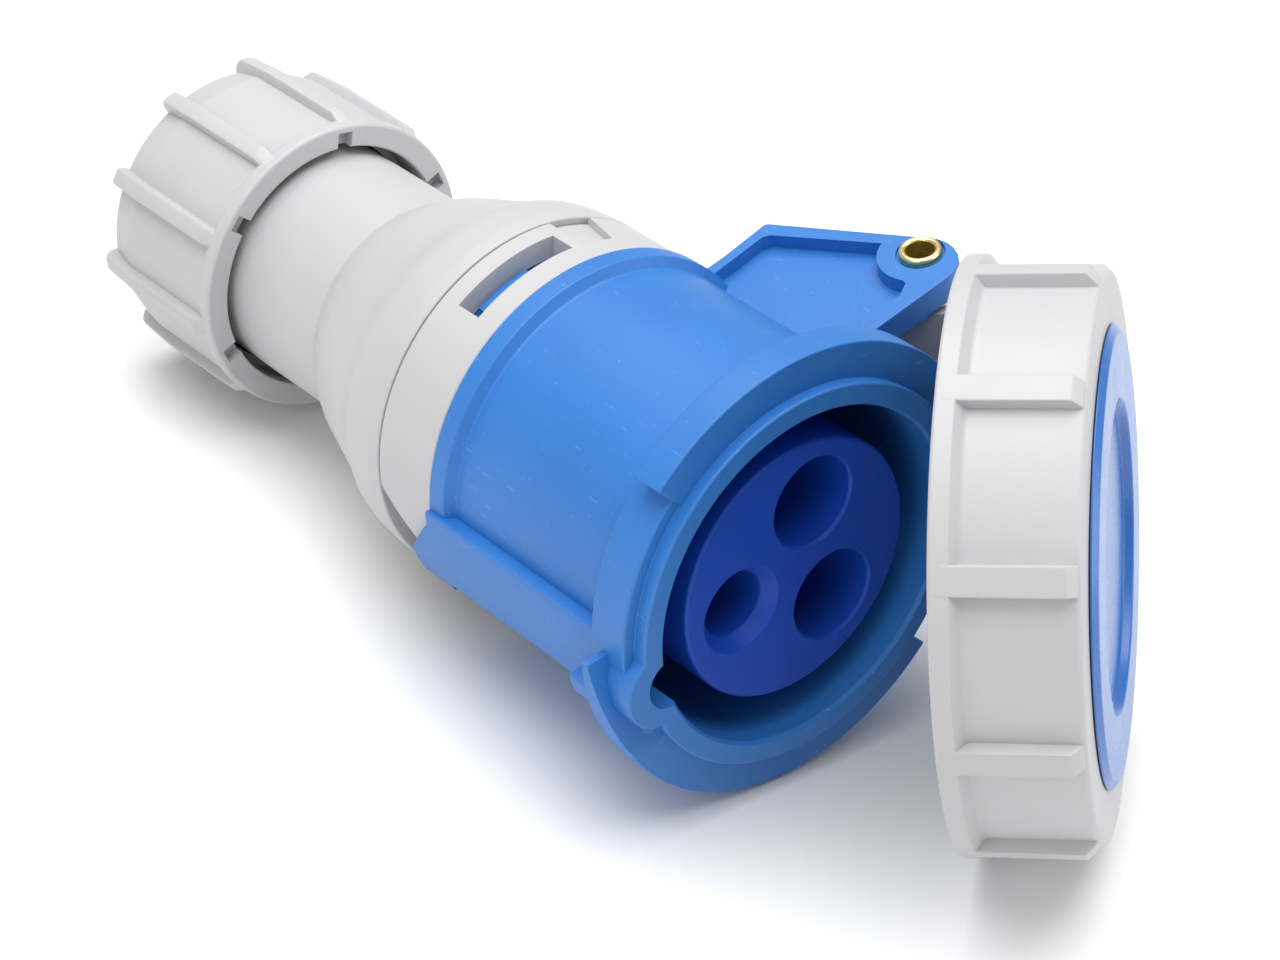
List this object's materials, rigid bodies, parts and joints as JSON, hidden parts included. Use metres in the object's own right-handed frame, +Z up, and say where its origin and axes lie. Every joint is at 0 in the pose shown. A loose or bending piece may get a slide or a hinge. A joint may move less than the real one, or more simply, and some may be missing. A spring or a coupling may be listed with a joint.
{
  "type": "industrial power connector",
  "caption": "Cable coupler with a keyed round mouth, contact wells, a hinged cap with bayonet ring, locking collar, tapered sleeve and gland nut.",
  "frame": {"origin": "middle of the bounding box on the floor, with the coupler lying as it rests", "axes": "+X along the floor below the mating axis, from the gland nut to the mouth; +Z up; +Y towards the side of the hinge"},
  "size_m": [0.1716, 0.0822, 0.074],
  "materials": {
    "blue_plastic": "fine matt moulded polyamide",
    "dark_blue_plastic": "matt moulded polyamide",
    "grey_plastic": "fine matt moulded polyamide",
    "brass": "bright drawn and turned",
    "spring_steel": "plain drawn wire and strip",
    "plated_steel": "zinc plated",
    "rubber": "moulded rubber"
  },
  "bodies": {
    "coupler": {"front_housing": "blue_plastic", "contact_insert": "dark_blue_plastic", "contact_retainer": "dark_blue_plastic", "rear_sleeve": "grey_plastic", "clamp_cage": "grey_plastic", "hinge_eyelet": "brass", "line_contact": "brass", "neutral_contact": "brass", "earth_contact": "brass", "lid_spring": "spring_steel", "line_contact_spring": "spring_steel", "neutral_contact_spring": "spring_steel", "earth_contact_spring": "spring_steel", "line_terminal_screws": "plated_steel", "neutral_terminal_screws": "plated_steel", "earth_terminal_screws": "plated_steel", "retainer_screws": "plated_steel", "sleeve_seal": "rubber", "cable_grommet": "rubber"},
    "collar": {"locking_collar": "grey_plastic"},
    "nut": {"gland_nut": "grey_plastic"},
    "lid": {"lid_carrier": "grey_plastic", "lid_disc": "blue_plastic", "lid_gasket": "rubber"},
    "ring": {"bayonet_ring": "grey_plastic"}
  },
  "joints": [
    {"name": "lid_hinge", "type": "hinge", "parent": "coupler", "child": "lid", "pos_m": [0.01643, 0.028, 0.04147], "axis": [-0.0749, -0.2442, 0.9668], "range_deg": [-39.85, 100]},
    {"name": "ring_turn", "type": "hinge", "parent": "lid", "child": "ring", "pos_m": [0.05944, 0.01143, 0.03818], "axis": [0.7533, 0.6214, 0.2153], "range_deg": [-40, 0]},
    {"name": "nut_turn", "type": "hinge", "parent": "coupler", "child": "nut", "pos_m": [-0.05829, -0.01107, 0.02338], "axis": [0.997, 0, 0.0772], "continuous": true},
    {"name": "collar_turn", "type": "hinge", "parent": "coupler", "child": "collar", "pos_m": [-0.00301, -0.01107, 0.02766], "axis": [0.997, 0, 0.0772], "range_deg": [-3, 11]}
  ]
}
